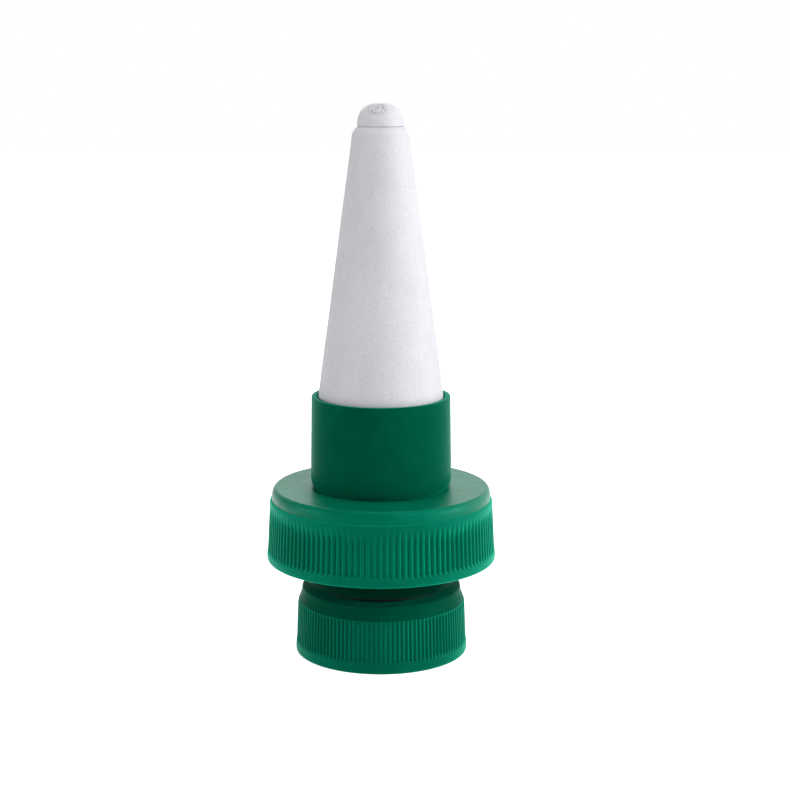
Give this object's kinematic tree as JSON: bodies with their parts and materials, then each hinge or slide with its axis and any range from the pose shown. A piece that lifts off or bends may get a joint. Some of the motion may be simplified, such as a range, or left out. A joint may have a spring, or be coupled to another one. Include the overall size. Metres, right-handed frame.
{
  "type": "self watering spike",
  "caption": "Hollow porous ceramic watering cone held in a plastic cup on ribbed screw caps, with an adapter between a wide bottle cap and a narrow one.",
  "frame": {"origin": "centre of the narrow cap's open rim, which the object stands on", "axes": "+Z along the common axis of the caps, cup and cone, towards the cone's tip; the object is round, so +X and +Y are any pair across it, with -Y towards the picture's camera"},
  "size_m": [0.0405, 0.0404, 0.0963],
  "materials": {
    "green_plastic": "satin moulded dark green polypropylene",
    "black_rubber": "matte black rubber",
    "silicone": "translucent grey silicone",
    "porous_ceramic": "matte porous unglazed white ceramic"
  },
  "bodies": {
    "bottle_adapter": {"narrow_cap": "green_plastic", "narrow_seal": "black_rubber", "adapter_washer": "black_rubber", "adapter_plug": "green_plastic"},
    "seal_carrier": {"wide_seal": "black_rubber"},
    "spike_head": {"wide_cap": "green_plastic", "cup_gasket": "black_rubber", "socket_cup": "green_plastic", "cone_boot": "silicone"},
    "cone": {"ceramic_cone": "porous_ceramic"}
  },
  "joints": [
    {"name": "cap_rise", "type": "slide", "parent": "bottle_adapter", "child": "seal_carrier", "axis": [0, 0, 1], "range_m": [0, 0.0084]},
    {"name": "cap_turn", "type": "hinge", "parent": "seal_carrier", "child": "spike_head", "pos_m": [0, 0, 0.0222], "axis": [0, 0, 1], "range_deg": [0, 720]},
    {"name": "cone_pull", "type": "slide", "parent": "spike_head", "child": "cone", "axis": [0, 0, 1], "range_m": [0, 0.015]}
  ],
  "couplings": [
    {"joint": "cap_rise", "follows": "cap_turn", "m_per_rad": 0.00066845}
  ]
}
